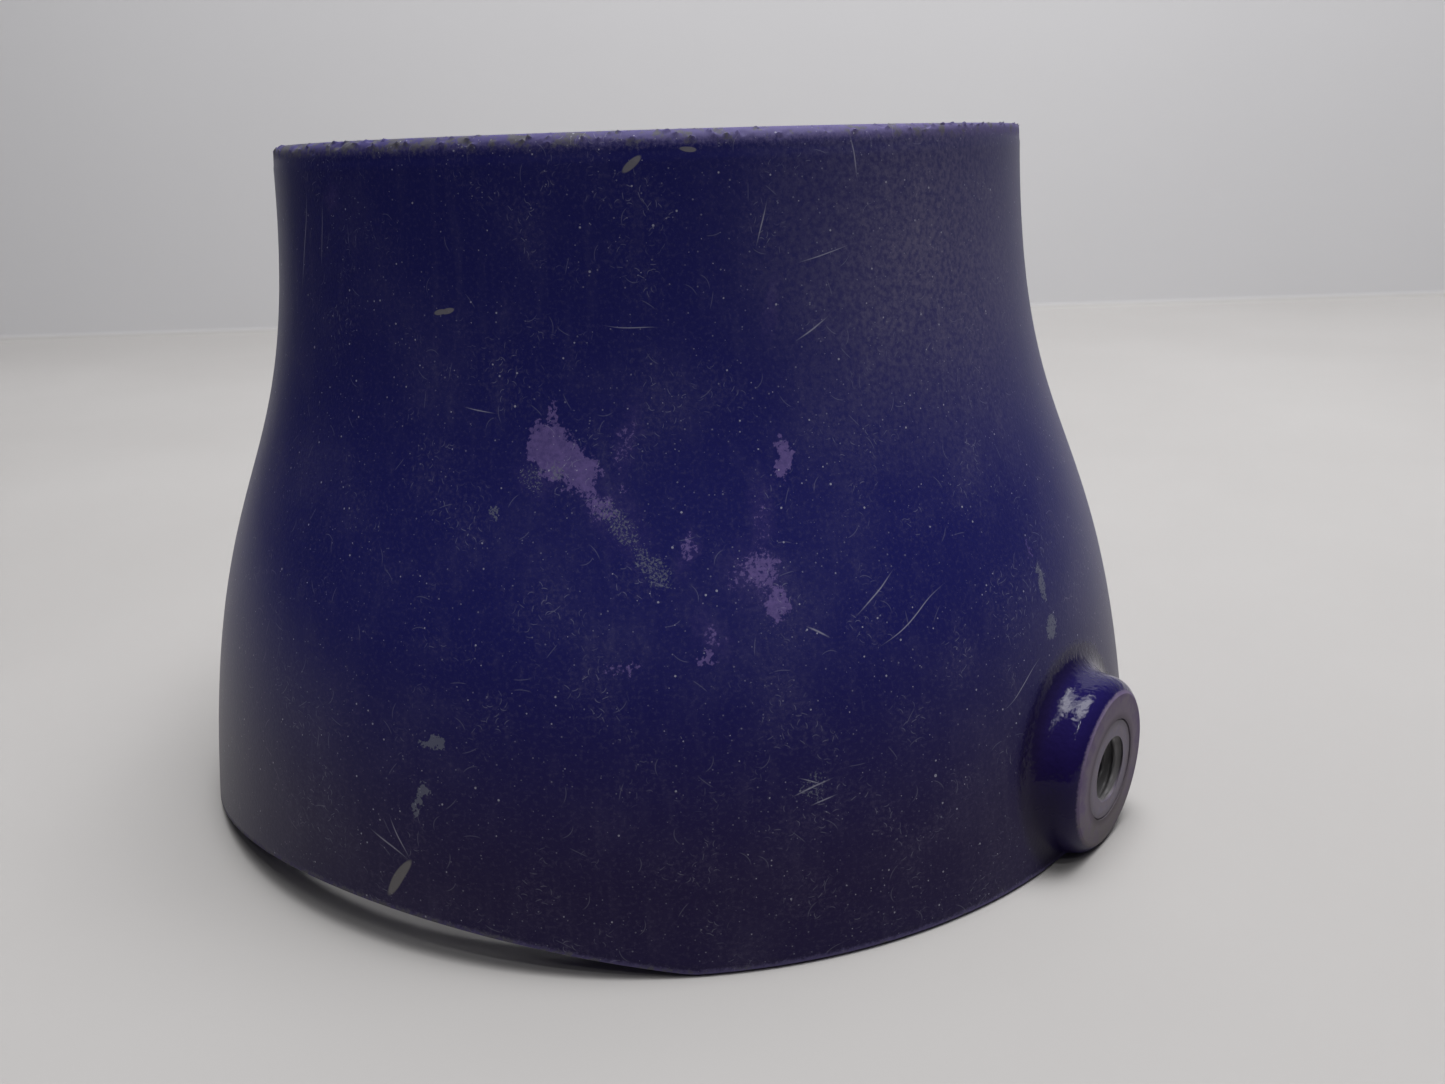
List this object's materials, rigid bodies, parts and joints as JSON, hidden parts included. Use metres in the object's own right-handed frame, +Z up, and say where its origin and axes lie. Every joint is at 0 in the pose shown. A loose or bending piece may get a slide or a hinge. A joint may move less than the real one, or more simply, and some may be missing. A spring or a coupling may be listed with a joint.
{
  "type": "water-jet steering nozzle",
  "caption": "Bell-shaped moulded plastic nozzle shell, open at both ends, with opposed pivot bosses and threaded inserts at its wide rim.",
  "frame": {"origin": "on the bell's axis, in the plane of the wide rim that it stands on", "axes": "+Z up the bell's axis towards the narrow outlet, +X through the right pivot boss, -X through the left one"},
  "size_m": [0.1244, 0.119, 0.0757],
  "materials": {
    "shell_plastic": "dark blue-violet moulded plastic, satin and dusty outside, glossy round the bosses, scuffed and scratched",
    "insert_metal": "dull, stained metal insert with an M8 thread, greyed to a mauve grey by spray and dust"
  },
  "bodies": {
    "root": {"nozzle_shell": "shell_plastic", "pivot_insert_right": "insert_metal", "pivot_insert_left": "insert_metal"}
  },
  "joints": []
}
